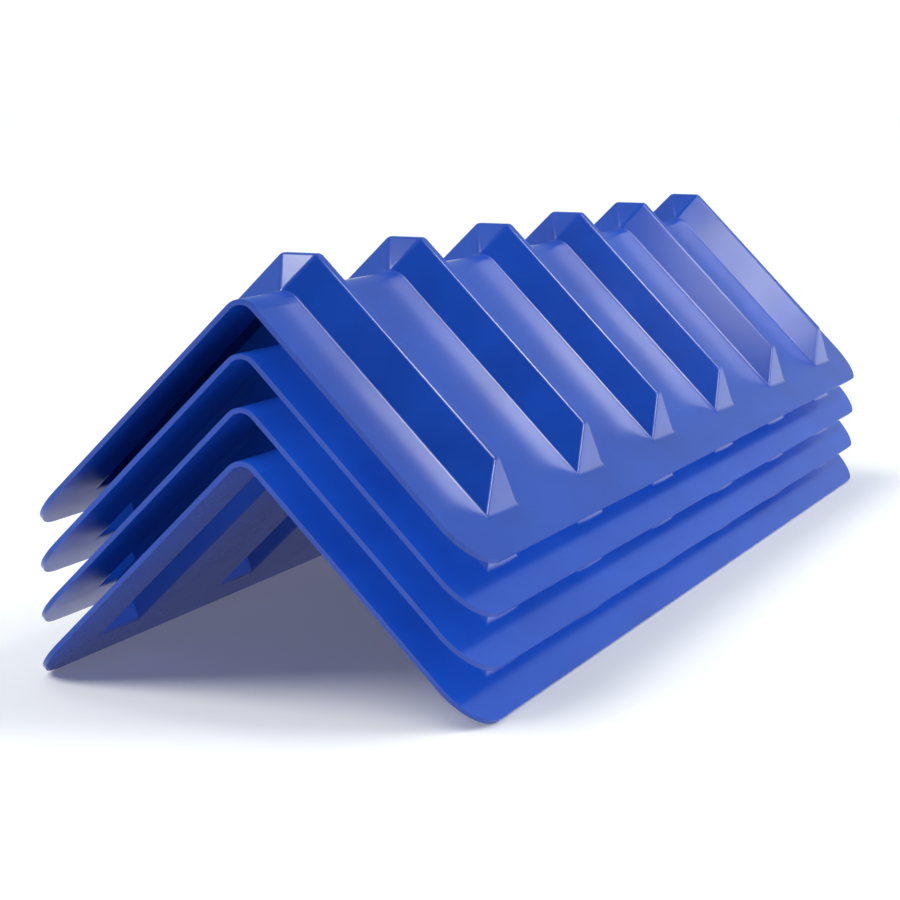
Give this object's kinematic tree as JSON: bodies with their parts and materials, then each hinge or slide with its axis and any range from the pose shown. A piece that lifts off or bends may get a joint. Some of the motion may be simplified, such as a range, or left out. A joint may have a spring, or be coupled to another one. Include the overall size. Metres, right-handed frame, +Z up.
{
  "type": "strap edge protector",
  "caption": "Nested stack of moulded V-shaped edge protectors with hollow ribs over the ridge that keep load straps in place on a corner.",
  "frame": {"origin": "centre of the footprint, on the surface that the lowest protector's feet stand on", "axes": "+X towards the right legs, +Y along the ridges, +Z up"},
  "size_m": [0.2874, 0.9144, 0.2512],
  "materials": {
    "blue_plastic": "smooth glossy injection-moulded polyethylene, deep blue"
  },
  "bodies": {
    "bottom": {"protector_bottom": "blue_plastic"},
    "second": {"protector_second": "blue_plastic"},
    "third": {"protector_third": "blue_plastic"},
    "top": {"protector_top": "blue_plastic"}
  },
  "joints": [
    {"name": "second_lift", "type": "slide", "parent": "bottom", "child": "second", "axis": [0, 0, 1], "range_m": [0, 0.18]},
    {"name": "third_lift", "type": "slide", "parent": "second", "child": "third", "axis": [0, 0, 1], "range_m": [0, 0.18]},
    {"name": "top_lift", "type": "slide", "parent": "third", "child": "top", "axis": [0, 0, 1], "range_m": [0, 0.18]}
  ]
}
